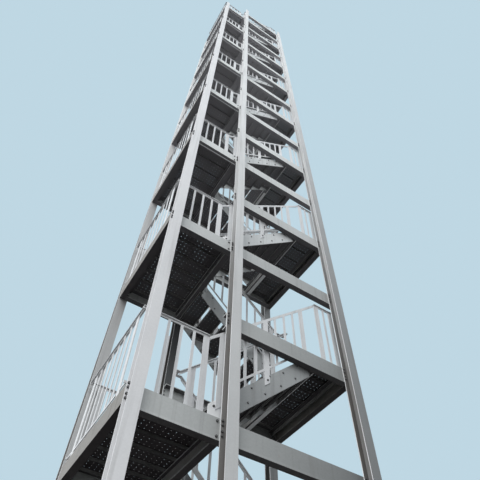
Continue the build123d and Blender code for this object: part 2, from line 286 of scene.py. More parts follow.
@dataclass(frozen=True)
class Zinc:
    """Galvanised steel that has dulled in the open.

    Attributes:
        name: The material's name.
        bright: The colour of its brightest crystals.
        dull: The colour of its dullest patches.
        metallic: How far it shines like bare metal.
        roughness: How rough it is where it is clean and even.
        specular: How strong its plain gloss is.
        crystal: How wide a crystal is.
        below: How strong the painted shade is on faces that look down.
        runs: How strong the rain runs are.
        rust: How strong the rust spots are.
        foot: How strong the painted shade is near the ground, on faces that look to the front or the
            back.
        lean: How much stronger that painted shade is for each metre to the right.
        reach: How high up that painted shade begins.
        full_shade_height: Below this height that painted shade is at its strongest.
        dark_underside_height: Below this height the painted shade on the undersides is near black.
        pale_underside_height: Above this height that painted shade is pale.
        relief: How strong the bumps are.
        bump: How high a bump is.
        dirt_and_shade: The colour of what the rain leaves, and of the painted shade between flanges.
        underside_shade_colour: The colour of the painted shade on the lower undersides.
        pale_underside_shade: The colour of the painted shade on the highest undersides.
        painted_shade: The colour of the painted shade near the ground.
        highlight_colour: The colour of the painted highlights and of the painted light.
        red: The colour of the rust.
        tones: The shares of the patches, the small clouds and the crystals in the tone.
        patch_edge: The cloud shades between which a patch turns from dull to bright.
        run_scale: How many runs there are to a metre, along X, Y and Z.
        run_edge: The cloud shades between which a run comes in.
        rust_edge: The cloud shades between which a rust spot comes in.
        rust_fray: How frayed its edge is.
        underside_shade_spread: How much the painted shade on the undersides goes with the patches.
        patch_rough: How much rougher the patches are.
        crystal_gloss: How much smoother the crystals are.
        rust_rough: How much rougher the rust is.
        underside_rough: How much rougher the shaded undersides are.
        fine_relief: How high the small clouds stand, as a share of a bump.
        crystal_relief: How high the crystals stand, as a share of a bump.
    """

    name: str
    bright: Colour
    dull: Colour
    metallic: float = 0.12
    roughness: float = 0.55
    specular: float = 0.18
    crystal: float = 0.014
    below: float = 0.9
    runs: float = 0.25
    rust: float = 0.35
    foot: float = 0.36
    lean: float = 0.2
    reach: float = 12.5
    full_shade_height: float = 2.5
    dark_underside_height: float = 3.0
    pale_underside_height: float = 21.0
    relief: float = 0.35
    bump: float = 0.0012
    dirt_and_shade: Colour = (0.095, 0.083, 0.074, 1.0)
    underside_shade_colour: Colour = (0.020, 0.016, 0.018, 1.0)
    pale_underside_shade: Colour = (0.50, 0.49, 0.52, 1.0)
    painted_shade: Colour = (0.030, 0.034, 0.036, 1.0)
    highlight_colour: Colour = (0.88, 0.89, 0.90, 1.0)
    red: Colour = (0.20, 0.085, 0.035, 1.0)
    tones: tuple[float, float, float] = (0.55, 0.2, 0.25)
    patch_edge: tuple[float, float] = (0.32, 0.68)
    run_scale: Place = (16.0, 16.0, 0.55)
    run_edge: tuple[float, float] = (0.5, 0.78)
    rust_edge: tuple[float, float] = (0.84, 0.94)
    rust_fray: float = 0.25
    underside_shade_spread: float = -0.2
    patch_rough: float = 0.16
    crystal_gloss: float = 0.1
    rust_rough: float = 0.25
    underside_rough: float = 0.3
    fine_relief: float = 0.5
    crystal_relief: float = 0.25

    def make(self) -> bpy.types.Material:
        """Builds the material.

        Returns:
            The new material.
        """
        material = bpy.data.materials.new(self.name)
        material.use_nodes = True
        recipe = Recipe(material.node_tree)
        spot = Spot.found(recipe, self.crystal)
        # Painted shade on faces that look down; there the metal also shines less and is rougher.
        underside_shade = (0.0 - spot.upright).over(0.0) * self.below * spot.uneven(self.underside_shade_spread)
        rust = self._rust(spot)
        colour = rust.between(self._weathered_and_shaded(spot, underside_shade), self.red)
        rough = self.roughness + spot.patches * self.patch_rough - spot.crystals * self.crystal_gloss
        rough = rough + rust * self.rust_rough + underside_shade * self.underside_rough
        height = spot.fine * self.fine_relief + spot.crystals * self.crystal_relief
        height = height + self._collars(recipe)
        bumps = {"Strength": self.relief, "Distance": self.bump, "Height": height}
        shader = material.node_tree.nodes["Principled BSDF"]
        shader.inputs["Specular IOR Level"].default_value = self.specular
        recipe.feed(shader.inputs["Metallic"], (1.0 - underside_shade) * self.metallic)
        recipe.feed(shader.inputs["Base Color"], colour)
        recipe.feed(shader.inputs["Roughness"], rough)
        recipe.feed(shader.inputs["Normal"], recipe.node("ShaderNodeBump", {}, bumps))
        return material

    def _weathered_and_shaded(self, spot: Spot, underside_shade: Signal) -> Signal:
        """The colour under the rust, with each layer of weather and of painted shade and light over the
        one before.

        Args:
            spot: The point.
            underside_shade: How strong the painted shade on faces that look down is there.

        Returns:
            The colour.
        """
        patchy, fine, crystals = self.tones
        tone = spot.patches.rise(*self.patch_edge) * patchy + spot.fine * fine + spot.crystals * crystals
        colour = self._under_painted_shade(spot, tone.between(self.dull, self.bright))
        # Painted shade: darker towards the ground and towards the right, on faces that look to the front
        # or the back.
        level = spot.height.rise(self.reach, self.full_shade_height)
        painted_shade = level * (spot.across * self.lean + self.foot) * abs(spot.ahead)
        colour = self._over_painted_shade(spot, painted_shade.between(colour, self.painted_shade))
        colour = self._runs(spot).between(colour, self.dirt_and_shade)
        # Painted shade on faces that look down: near black low on the tower, paler higher up.
        underside_shade_colour = spot.height.rise(self.dark_underside_height, self.pale_underside_height).between(self.underside_shade_colour, self.pale_underside_shade)
        return self._over_underside_shade(spot, underside_shade.between(colour, underside_shade_colour))

    def _under_painted_shade(self, spot: Spot, colour: Signal) -> Signal:
        """The colour with a kind of steel's own marks under the painted shade near the ground. Plain
        zinc has none.
        """
        return colour

    def _over_painted_shade(self, spot: Spot, colour: Signal) -> Signal:
        """The colour with a kind of steel's own marks over the painted shade near the ground. Plain zinc
        has none.
        """
        return colour

    def _over_underside_shade(self, spot: Spot, colour: Signal) -> Signal:
        """The colour with a kind of steel's own marks over the painted shade on the undersides. Plain
        zinc has none.
        """
        return colour

    def _collars(self, recipe: Recipe) -> Signal | float:
        """The height of raised collars round holes. Plain zinc has none."""
        return 0.0

    def _runs(self, spot: Spot) -> Signal:
        """How strong the grey runs are that rain has left on standing faces."""
        streaks = spot.where.stretched(self.run_scale).clouds(scale=1.0, detail=4.0)
        return streaks.rise(*self.run_edge) * (1.0 - abs(spot.upright)) * self.runs

    def _rust(self, spot: Spot) -> Signal:
        """How strong the rust is: small frayed spots where the zinc has gone."""
        spots = spot.where.clouds(scale=5.0, detail=7.0) + spot.fine * self.rust_fray
        return spots.rise(*self.rust_edge) * self.rust


@dataclass(frozen=True)
class PostZinc(Zinc):
    """A post's zinc, with painted shade between its flanges and painted highlights on their edges.

    Attributes:
        rows: Where the front and the back row of posts stand along Y.
        inside: From a post's middle to the inside of its flange.
        recess: How strong the painted shade between the flanges is.
        recess_spread: How much that painted shade goes with the patches.
        recess_reach: The heights between which it comes in, from above.
        shade: How dark the faces are that don't look to the back.
        shade_reach: The heights between which that comes in, from above.
        edge_turn: Faces that look along X more than this are the flanges' edges.
        edge_highlight: How strong the painted highlight on them is.
    """

    rows: tuple[float, float] = (0.0, 1.68)
    inside: float = 0.0495
    recess: float = 0.72
    recess_spread: float = 0.7
    recess_reach: tuple[float, float] = (9.5, 4.0)
    shade: float = 0.0
    shade_reach: tuple[float, float] = (16.0, 7.0)
    edge_turn: float = 0.5
    edge_highlight: float = 1.2

    def _over_painted_shade(self, spot: Spot, colour: Signal) -> Signal:
        """Darkens the faces that stand in the tower's own shade.

        Args:
            spot: The point.
            colour: The colour so far.

        Returns:
            The colour with the shade.
        """
        if not self.shade:
            return colour
        shade = (1.0 - spot.ahead.over(0.0)) * spot.height.rise(*self.shade_reach) * self.shade
        return shade.between(colour, self.painted_shade)

    def _over_underside_shade(self, spot: Spot, colour: Signal) -> Signal:
        """Adds painted shade between the flanges, and painted highlights on the flanges' edges.

        Args:
            spot: The point.
            colour: The colour so far.

        Returns:
            The colour with both.
        """
        # Painted shade between the flanges, fading out higher up.
        front, back = (abs(spot.deep - row) < self.inside for row in self.rows)
        between = front + back
        patchy = between * self.recess * spot.uneven(self.recess_spread)
        dirt_and_shade = patchy * spot.height.rise(*self.recess_reach)
        # Painted highlight on the flanges' edges: faces outside the recess that look along X.
        edges = (1.0 - between) * (abs(spot.along) - self.edge_turn).over(0.0) * self.edge_highlight
        return edges.between(dirt_and_shade.between(colour, self.dirt_and_shade), self.highlight_colour)


@dataclass(frozen=True)
class ChannelZinc(Zinc):
    """A front or back channel's zinc, with two painted highlights as paler lines.

    Attributes:
        step: From one landing's height to the next.
        strip: How far up a step the channel's lower edge lies, as a share of the step.
        strip_half: Half the height of the pale strip on that edge, as a share of the step.
        strip_highlight: How strong the painted highlight on the strip is.
        line_y: Where the pale line under the front channel runs.
        line_half: Half the line's width.
        line_end: Where the line ends along X, at the end of the left bay.
        line_reach: The heights between which the line comes in.
    """

    step: float = 1.4
    strip: float = 0.852
    strip_half: float = 0.008
    strip_highlight: float = 0.3
    line_y: float = 0.116
    line_half: float = 0.009
    line_end: float = 0.86
    line_reach: tuple[float, float] = (8.2, 9.4)

    def _under_painted_shade(self, spot: Spot, colour: Signal) -> Signal:
        """Adds a painted highlight: a paler strip along the lower edge of the channel's web.

        Args:
            spot: The point.
            colour: The colour so far.

        Returns:
            The colour with the strip.
        """
        level = (spot.height / self.step).fraction()
        # Painted highlight along the lower edge of each channel.
        strip = (abs(level - self.strip) < self.strip_half) * self.strip_highlight
        return strip.between(colour, self.highlight_colour)

    def _over_underside_shade(self, spot: Spot, colour: Signal) -> Signal:
        """Adds a painted highlight: a pale line under the left bay's front channels, from the fourth
        landing up.
        """
        line = (abs(spot.deep - self.line_y) < self.line_half) * (spot.across < self.line_end)
        return (line * spot.height.rise(*self.line_reach)).between(colour, self.highlight_colour)


@dataclass(frozen=True)
class BeamZinc(Zinc):
    """A landing beam's zinc, with a painted highlight as a bright line along its lower flange.

    Attributes:
        line_x: Where the line runs.
        line_half: Half the line's width.
        line_highlight: How strong the painted highlight is.
        widens: Whether it grows into a band at the back.
        band_x: The middle of the band.
        band_half: Half the band's width.
        band_from: Where the band begins along Y.
        underside: Faces that look up less than this are undersides.
    """

    line_x: float = 0.805
    line_half: float = 0.0055
    line_highlight: float = 0.35
    widens: bool = False
    band_x: float = 2.09
    band_half: float = 0.028
    band_from: float = 0.9
    underside: float = -0.5

    def _over_underside_shade(self, spot: Spot, colour: Signal) -> Signal:
        """Adds the painted highlight: the bright line, and the band at the back where there is one.

        Args:
            spot: The point.
            colour: The colour so far.

        Returns:
            The colour with the line.
        """
        line = abs(spot.across - self.line_x) < self.line_half
        if self.widens:
            band = (abs(spot.across - self.band_x) < self.band_half) * (spot.deep > self.band_from)
            line = line.over(band * (spot.upright < self.underside))
        return (line * self.line_highlight).between(colour, self.highlight_colour)


@dataclass(frozen=True)
class StringerZinc(Zinc):
    """A stringer's zinc, with painted light that makes the flight's left end lighter.

    Attributes:
        open_end_light: How strong the painted light is there.
        open_reach: The places along X between which that comes in, from the right.
    """

    open_end_light: float = 0.7
    open_reach: tuple[float, float] = (0.98, 0.86)

    def _over_painted_shade(self, spot: Spot, colour: Signal) -> Signal:
        """Paints light on the end that stands in the open."""
        return (spot.across.rise(*self.open_reach) * self.open_end_light).between(colour, self.highlight_colour)


@dataclass(frozen=True)
class PunchedZinc(Zinc):
    """A punched sheet's zinc, raised a little round each hole.

    Attributes:
        hole: A hole's radius, as a share of the holes' pitch.
        collar: Where a collar ends and where it is whole, as shares of that radius.
        collar_relief: How high it stands, as a share of a bump.
    """

    hole: float = 0.082
    collar: tuple[float, float] = (2.0, 1.2)
    collar_relief: float = 3.0

    def _collars(self, recipe: Recipe) -> Signal | float:
        """The raised collars round the holes, from the sheet's own map.

        Args:
            recipe: The node tree.

        Returns:
            The collars' height.
        """
        across, along, _ = recipe.node("ShaderNodeUVMap", {"uv_map": "sheet"}).axes()
        aside = across.fraction() - 0.5
        ahead = along.fraction() - 0.5
        away = (aside * aside + ahead * ahead).root()
        end, top = self.collar
        return away.rise(self.hole * end, self.hole * top) * self.collar_relief


POST = PostZinc(
    "post_zinc",
    (0.86, 0.87, 0.875, 1),
    (0.75, 0.76, 0.765, 1),
    foot=0.43,
    lean=0.0,
    reach=14.0,
    below=0.8,
)
# RIGHT_POST has more painted shade near the ground; the back posts add painted shade on the faces that
# don't look to the back.
RIGHT_POST = replace(POST, name="right_post_zinc", foot=0.8, reach=20.0)
BACK_LEFT_POST = replace(POST, name="back_left_post_zinc", foot=0.24, shade=0.35)
BACK_MID_POST = replace(POST, name="back_mid_post_zinc", shade=0.85)
BACK_RIGHT_POST = replace(POST, name="back_right_post_zinc", shade=0.45)
# The front left post stands in the light: no painted shade between its flanges, and less near the
# ground.
OPEN_POST = Zinc(
    "open_post_zinc",
    (0.86, 0.865, 0.88, 1),
    (0.75, 0.755, 0.77, 1),
    foot=0.24,
    lean=0.0,
    below=0.8,
)
CHANNEL = ChannelZinc("channel_zinc", (0.78, 0.80, 0.795, 1), (0.64, 0.66, 0.655, 1), below=0.93)
SIDE = Zinc(
    "side_channel_zinc",
    (0.36, 0.345, 0.33, 1),
    (0.27, 0.26, 0.245, 1),
    roughness=0.7,
    foot=0.2,
    lean=0.05,
    below=0.93,
)
BEAM = BeamZinc("beam_zinc", (0.42, 0.42, 0.41, 1), (0.24, 0.24, 0.235, 1), foot=0.3, below=0.95)
# The right landing beams' painted highlight is at full strength and widens into a band under the back
# half.
RIGHT_BEAM = replace(BEAM, name="right_beam_zinc", line_x=2.112, line_highlight=1.0, widens=True)
LEDGER = Zinc("ledger_zinc", (0.36, 0.36, 0.35, 1), (0.22, 0.22, 0.21, 1), foot=0.3, below=0.95)
SHEET = PunchedZinc(
    "punched_zinc",
    (0.30, 0.30, 0.295, 1),
    (0.17, 0.17, 0.165, 1),
    metallic=0.08,
    roughness=0.6,
    below=0.97,
    runs=0.3,
    foot=0.2,
    lean=0.05,
)
STRINGER = StringerZinc(
    "stringer_zinc",
    (0.68, 0.70, 0.705, 1),
    (0.55, 0.57, 0.575, 1),
    foot=0.78,
    lean=0.0,
    reach=9.0,
)
RAIL = Zinc(
    "rail_zinc",
    (0.84, 0.85, 0.865, 1),
    (0.68, 0.69, 0.705, 1),
    foot=0.25,
    lean=0.03,
    below=0.25,
    rust=0.2,
)
FASTENER = Zinc(
    "fastener_zinc",
    (0.22, 0.22, 0.22, 1),
    (0.10, 0.10, 0.10, 1),
    metallic=0.3,
    crystal=0.004,
    foot=0.1,
    lean=0.0,
    below=0.6,
    rust=0.8,
)


class Dresser:
    """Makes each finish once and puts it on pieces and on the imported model's nodes."""

    def __init__(self) -> None:
        """Starts with no material made."""
        self.made: dict[str, bpy.types.Material] = {}

    def material(self, finish: Zinc) -> bpy.types.Material:
        """Finds a finish's material, or makes it when it is first wanted.

        Args:
            finish: The finish.

        Returns:
            Its material.
        """
        if finish.name not in self.made:
            self.made[finish.name] = finish.make()
        return self.made[finish.name]

    def dress_node(self, name: str, finish: Zinc) -> None:
        """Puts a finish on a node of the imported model.

        Args:
            name: The node's name.
            finish: The finish.
        """
        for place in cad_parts[name].material_slots:
            place.material = self.material(finish)
        log.info("dressed %s in %s", name, finish.name)

    def dress(self, piece: Piece, finish: Zinc) -> None:
        """Puts a finish on a new piece, which then belongs to the model.

        Args:
            piece: The piece.
            finish: The finish.
        """
        piece.data.materials.clear()
        piece.data.materials.append(self.material(finish))
        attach(piece, "root")
        log.info("built %s, %d faces", piece.name, len(piece.data.polygons))


class Bench:
    """The moves that the pieces are modelled with."""

    @staticmethod
    def take(piece: Piece) -> None:
        """Makes a piece the only one that is selected, and the active one.

        Args:
            piece: The piece.
        """
        bpy.ops.object.select_all(action="DESELECT")
        piece.select_set(True)
        bpy.context.view_layer.objects.active = piece

    @staticmethod
    def named(name: str) -> Piece:
        """Names the piece that was just added, and settles its place into its mesh.

        Args:
            name: The piece's name.

        Returns:
            The piece.
        """
        piece = bpy.context.view_layer.objects.active
        piece.name = name
        bpy.ops.object.transform_apply(location=True, rotation=True, scale=True)
        return piece

    @staticmethod
    def pick(piece: Piece, kind: str, wanted: Callable[..., bool]) -> None:
        """Selects in edit mode, by place, and leaves edit mode on.

        Args:
            piece: The piece, which goes into edit mode.
            kind: VERT, EDGE or FACE.
            wanted: Tells whether an element is wanted.
        """
        Bench.take(piece)
        bpy.ops.object.mode_set(mode="EDIT")
        bpy.ops.mesh.select_mode(type=kind)
        bpy.ops.mesh.select_all(action="DESELECT")
        mesh = bmesh.from_edit_mesh(piece.data)
        elements = {"VERT": mesh.verts, "EDGE": mesh.edges, "FACE": mesh.faces}[kind]
        for element in elements:
            if wanted(element):
                element.select_set(True)
        bmesh.update_edit_mesh(piece.data)

    @staticmethod
    def leave() -> None:
        """Goes back to object mode."""
        bpy.ops.object.mode_set(mode="OBJECT")

    @staticmethod
    def block(name: str, low: Place, high: Place, edge: float) -> Piece:
        """A block with softened edges.

        Args:
            name: The piece's name.
            low: Its lowest corner.
            high: Its highest corner.
            edge: How far its edges are cut back.

        Returns:
            The piece.
        """
        bpy.ops.object.select_all(action="DESELECT")
        middle = (Vector(low) + Vector(high)) / 2
        bpy.ops.mesh.primitive_cube_add(size=1, location=middle, scale=Vector(high) - Vector(low))
        piece = Bench.named(name)
        Bench.pick(piece, "EDGE", lambda _: True)
        bpy.ops.mesh.bevel(offset=edge, segments=1, affect="EDGES")
        Bench.leave()
        return piece

    @staticmethod
    def apply(piece: Piece, kind: str, **settings: object) -> None:
        """Gives a piece a modifier and applies it.

        Args:
            piece: The piece.
            kind: The modifier's type.
            settings: Its properties.
        """
        Bench.take(piece)
        modifier = piece.modifiers.new(kind.title(), kind)
        for name, value in settings.items():
            setattr(modifier, name, value)
        bpy.ops.object.modifier_apply(modifier=modifier.name)

    @staticmethod
    def repeat(piece: Piece, count: int, step: Place, join: bool = False) -> None:
        """Repeats a piece along a line.

        Args:
            piece: The piece.
            count: How many there are in all.
            step: From one to the next.
            join: True where each meets the next.
        """
        Bench.apply(
            piece,
            "ARRAY",
            count=count,
            use_relative_offset=False,
            use_constant_offset=True,
            constant_offset_displace=step,
            use_merge_vertices=join,
            merge_threshold=SAME,
        )

    @staticmethod
    def move(piece: Piece, step: Place) -> None:
        """Moves a piece, with its place kept in its mesh.

        Args:
            piece: The piece.
            step: How far it goes.
        """
        Bench.take(piece)
        bpy.ops.transform.translate(value=step)
        bpy.ops.object.transform_apply(location=True, rotation=True, scale=True)

    @staticmethod
    def turn(piece: Piece, angle: float, about: Place = (0.0, 0.0, 0.0)) -> None:
        """Turns a piece about an upright line.

        Args:
            piece: The piece.
            angle: A quarter or a half turn.
            about: A point on the line.
        """
        Bench.take(piece)
        bpy.ops.transform.rotate(value=angle, orient_axis="Z", center_override=about)
        bpy.ops.object.transform_apply(location=True, rotation=True, scale=True)

    @staticmethod
    def flip(piece: Piece, middle_y: float) -> None:
        """Mirrors a piece from the front half to the back half.

        Args:
            piece: The piece.
            middle_y: The plane between the halves.
        """
        Bench.take(piece)
        bpy.ops.transform.resize(value=(1, -1, 1), center_override=(0, middle_y, 0))
        bpy.ops.object.transform_apply(location=True, rotation=True, scale=True)
        Bench.pick(piece, "FACE", lambda _: True)
        bpy.ops.mesh.normals_make_consistent(inside=False)
        Bench.leave()

    @staticmethod
    def copy(piece: Piece, name: str) -> Piece:
        """Copies a piece, with a mesh of its own.

        Args:
            piece: The piece.
            name: The copy's name.

        Returns:
            The copy.
        """
        Bench.take(piece)
        bpy.ops.object.duplicate(linked=False)
        twin = bpy.context.view_layer.objects.active
        twin.name = name
        return twin

    @staticmethod
    def weld(pieces: Iterable[Piece], name: str) -> Piece:
        """Joins pieces into one.

        Args:
            pieces: The pieces, at least one.
            name: The joined piece's name.

        Returns:
            The joined piece.
        """
        bpy.ops.object.select_all(action="DESELECT")
        for piece in pieces:
            piece.select_set(True)
            bpy.context.view_layer.objects.active = piece
        bpy.ops.object.join()
        joined = bpy.context.view_layer.objects.active
        joined.name = name
        return joined

    @staticmethod
    def scatter(pattern: Piece, places: Iterable[Place], name: str) -> Piece:
        """Copies a pattern piece to each place, joins the copies and drops the pattern.

        Args:
            pattern: A piece that is modelled at the origin.
            places: Where the copies go.
            name: The joined piece's name.

        Returns:
            The joined piece.
        """
        copies = []
        for place in places:
            twin = pattern.copy()
            twin.data = pattern.data.copy()
            twin.data.transform(Matrix.Translation(place))
            bpy.context.scene.collection.objects.link(twin)
            copies.append(twin)
        bpy.data.objects.remove(pattern)
        return Bench.weld(copies, name)


@dataclass
class Stair:
    """The stair's own sizes, which its sub-assemblies share."""

    rise: float = 0.2
    going: float = 0.21
    treads: int = 6
    storeys: int = 9
    storey: float = 2.8
    near_start: float = 0.776
    turn_x: float = 1.461
    middle_y: float = 0.84
    outer_face: float = 0.15
    inner_face: float = 0.8
    plate: float = 0.01
    post_places: tuple[float, float, float] = (0.0, 0.905, 2.555)
    back_row: float = 1.68

    def half_level(self, number: int) -> float:
        """Height of a left landing, from 1 at the bottom."""
        return self.storey * (number - 0.5)

    def full_level(self, number: int) -> float:
        """Height of a right landing, from 1 at the bottom."""
        return self.storey * number

    def up_the_tower(self, piece: Piece) -> None:
        """Repeats a lowest storey's piece at each storey."""
        Bench.repeat(piece, self.storeys, (0, 0, self.storey))


@dataclass
class PunchedSheet:
    """A sheet with rows of round holes, folded down along both long edges."""

    columns: int
    rows: int
    length: float
    width: float
    pitch: float = 0.055
    hole: float = 0.0045
    corners: int = 8
    fold: float = 0.04
    sheet: float = 0.003

    def build(self, name: str) -> Piece:
        """Models the sheet about the origin, its length along X and its top at zero.

        Args:
            name: The piece's name.

        Returns:
            The sheet.
        """
        piece = self._cell(name)
        across = (self.columns - 1) * self.pitch
        along = (self.rows - 1) * self.pitch
        Bench.repeat(piece, self.columns, (self.pitch, 0, 0), join=True)
        Bench.repeat(piece, self.rows, (0, self.pitch, 0), join=True)
        Bench.move(piece, (-across / 2, -along / 2, 0))
        end = (self.length - self.columns * self.pitch) / 2
        side = (self.width - self.rows * self.pitch) / 2
        for sign in (-1, 1):
            self._grow(piece, 0, sign, (sign * end, 0, 0))
        for sign in (-1, 1):
            self._grow(piece, 1, sign, (0, sign * side, 0))
            bpy.ops.object.mode_set(mode="EDIT")
            self._extrude((0, 0, -self.fold))
            Bench.leave()
        self._round_folds(piece)
        Bench.apply(piece, "SOLIDIFY", thickness=self.sheet, offset=-1, use_even_offset=True)
        self._map(piece)
        return piece

    def _cell(self, name: str) -> Piece:
        """Models one square of the sheet, with its hole, its face upwards.

        Args:
            name: The piece's name.

        Returns:
            The square.
        """
        bpy.ops.object.select_all(action="DESELECT")
        bpy.ops.mesh.primitive_plane_add(size=self.pitch, calc_uvs=False)
        piece = Bench.named(name)
        Bench.pick(piece, "FACE", lambda _: True)
        bpy.ops.mesh.subdivide(number_cuts=1)
        Bench.leave()
        Bench.pick(piece, "VERT", lambda corner: corner.co.length < self.hole)
        bpy.ops.mesh.delete(type="VERT")
        bpy.ops.mesh.primitive_circle_add(vertices=self.corners, radius=self.hole)
        bpy.ops.mesh.select_mode(type="EDGE")
        bpy.ops.mesh.select_all(action="SELECT")
        bpy.ops.mesh.bridge_edge_loops()
        Bench.leave()
        if piece.data.polygons[0].normal.z < 0:
            Bench.pick(piece, "FACE", lambda _: True)
            bpy.ops.mesh.flip_normals()
            Bench.leave()
        return piece

    def _grow(self, piece: Piece, axis: int, sign: int, step: Place) -> None:
        """Widens the sheet past its outermost edges on one side, which stay selected.

        Args:
            piece: The sheet.
            axis: 0 for its ends, 1 for its sides.
            sign: Which end or side.
            step: From the old edge to the new one.
        """
        furthest = max(sign * corner.co[axis] for corner in piece.data.vertices)

        def outermost(edge: bmesh.types.BMEdge) -> bool:
            """Whether an edge lies along that end or side."""
            return all(sign * corner.co[axis] > furthest - SAME for corner in edge.verts)

        Bench.pick(piece, "EDGE", outermost)
        self._extrude(step)
        Bench.leave()

    @staticmethod
    def _extrude(step: Place) -> None:
        """Draws the selected edges out by a step."""
        bpy.ops.mesh.extrude_region_move(TRANSFORM_OT_translate={"value": step})

    def _round_folds(self, piece: Piece) -> None:
        """Gives the folds their bend.

        Args:
            piece: The folded sheet.
        """
        half = self.width / 2 - SAME

        def on_fold(edge: bmesh.types.BMEdge) -> bool:
            """Whether an edge lies along a fold."""
            return all(abs(end.co.y) > half and end.co.z > -SAME for end in edge.verts)

        Bench.pick(piece, "EDGE", on_fold)
        bpy.ops.mesh.bevel(offset=self.sheet, segments=2, affect="EDGES")
        Bench.leave()

    def _map(self, piece: Piece) -> None:
        """Maps the sheet so that each square with a hole runs from one whole number to the next.

        Args:
            piece: The finished sheet.
        """
        layer = piece.data.uv_layers.new(name="sheet")
        corner = Vector((self.columns * self.pitch / 2, self.rows * self.pitch / 2))
        for loop in piece.data.loops:
            place = piece.data.vertices[loop.vertex_index].co.xy
            layer.data[loop.index].uv = (place + corner) / self.pitch


@dataclass
class Fastener:
    """A hexagon head or nut on a round washer."""

    across: float = 0.024
    height: float = 0.010
    washer: float = 0.015
    washer_height: float = 0.003
    chamfer: float = 0.0015
    stud: float = 0.0
    stud_radius: float = 0.0096
    stud_sunk: float = 0.002

    def build(self, facing: Facing) -> Piece:
        """Models the fastener at the origin.

        Args:
            facing: Which way it looks.

        Returns:
            The fastener.
        """
        parts = [self._round("head", 6, self.across / sqrt(3), self.washer_height, self.height, facing)]
        if self.washer:
            parts.append(self._round("washer", 12, self.washer, 0.0, self.washer_height, facing))
        if self.stud:
            start = self.washer_height + self.height - self.stud_sunk
            parts.append(self._round("stud", 10, self.stud_radius, start, self.stud, facing))
        return Bench.weld(parts, "fastener")

    def _round(
        self, name: str, sides: int, radius: float, start: float, depth: float, facing: Facing
    ) -> Piece:
        """A short prism with its outer rim cut back.

        Args:
            name: The piece's name.
            sides: How many sides it has.
            radius: From its middle to a corner.
            start: How far from the surface it begins.
            depth: How thick it is.
            facing: Which way it looks.

        Returns:
            The prism.
        """
        turn = Vector(facing.value)
        ahead = Vector((0, -sin(turn.x), cos(turn.x)))
        bpy.ops.object.select_all(action="DESELECT")
        bpy.ops.mesh.primitive_cylinder_add(
            vertices=sides,
            radius=radius,
            depth=depth,
            location=ahead * (start + depth / 2),
            rotation=facing.value,
        )
        piece = Bench.named(name)
        rim = start + depth - SAME

        def outer(edge: bmesh.types.BMEdge) -> bool:
            """Whether an edge is on the outer rim."""
            return all(end.co.dot(ahead) > rim for end in edge.verts)

        Bench.pick(piece, "EDGE", outer)
        bpy.ops.mesh.bevel(offset=min(self.chamfer, depth / 3), segments=1, affect="EDGES")
        Bench.leave()
        return piece


@dataclass
class Landing:
    """The punched planks of the landings in one bay."""

    bay: str
    start_x: float
    sheet: PunchedSheet
    heights: list[float]
    planks: int = 6
    first_y: float = 0.152
    spacing: float = 0.23

    def build(self, dresser: Dresser) -> None:
        """Builds a deck for each landing.

        Args:
            dresser: Puts the finish on.
        """
        plank = self.sheet.build(f"{self.bay}_deck")
        middle_x = self.start_x + self.sheet.length / 2
        Bench.move(plank, (middle_x, self.first_y + self.sheet.width / 2, 0))
        Bench.repeat(plank, self.planks, (0, self.spacing, 0))
        for number, height in enumerate(self.heights, start=1):
            deck = Bench.copy(plank, f"{self.bay}_landing_deck_{number}")
            Bench.move(deck, (0, 0, height))
            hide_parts(f"{self.bay}_landing_planks")
            dresser.dress(deck, SHEET)
        bpy.data.objects.remove(plank)


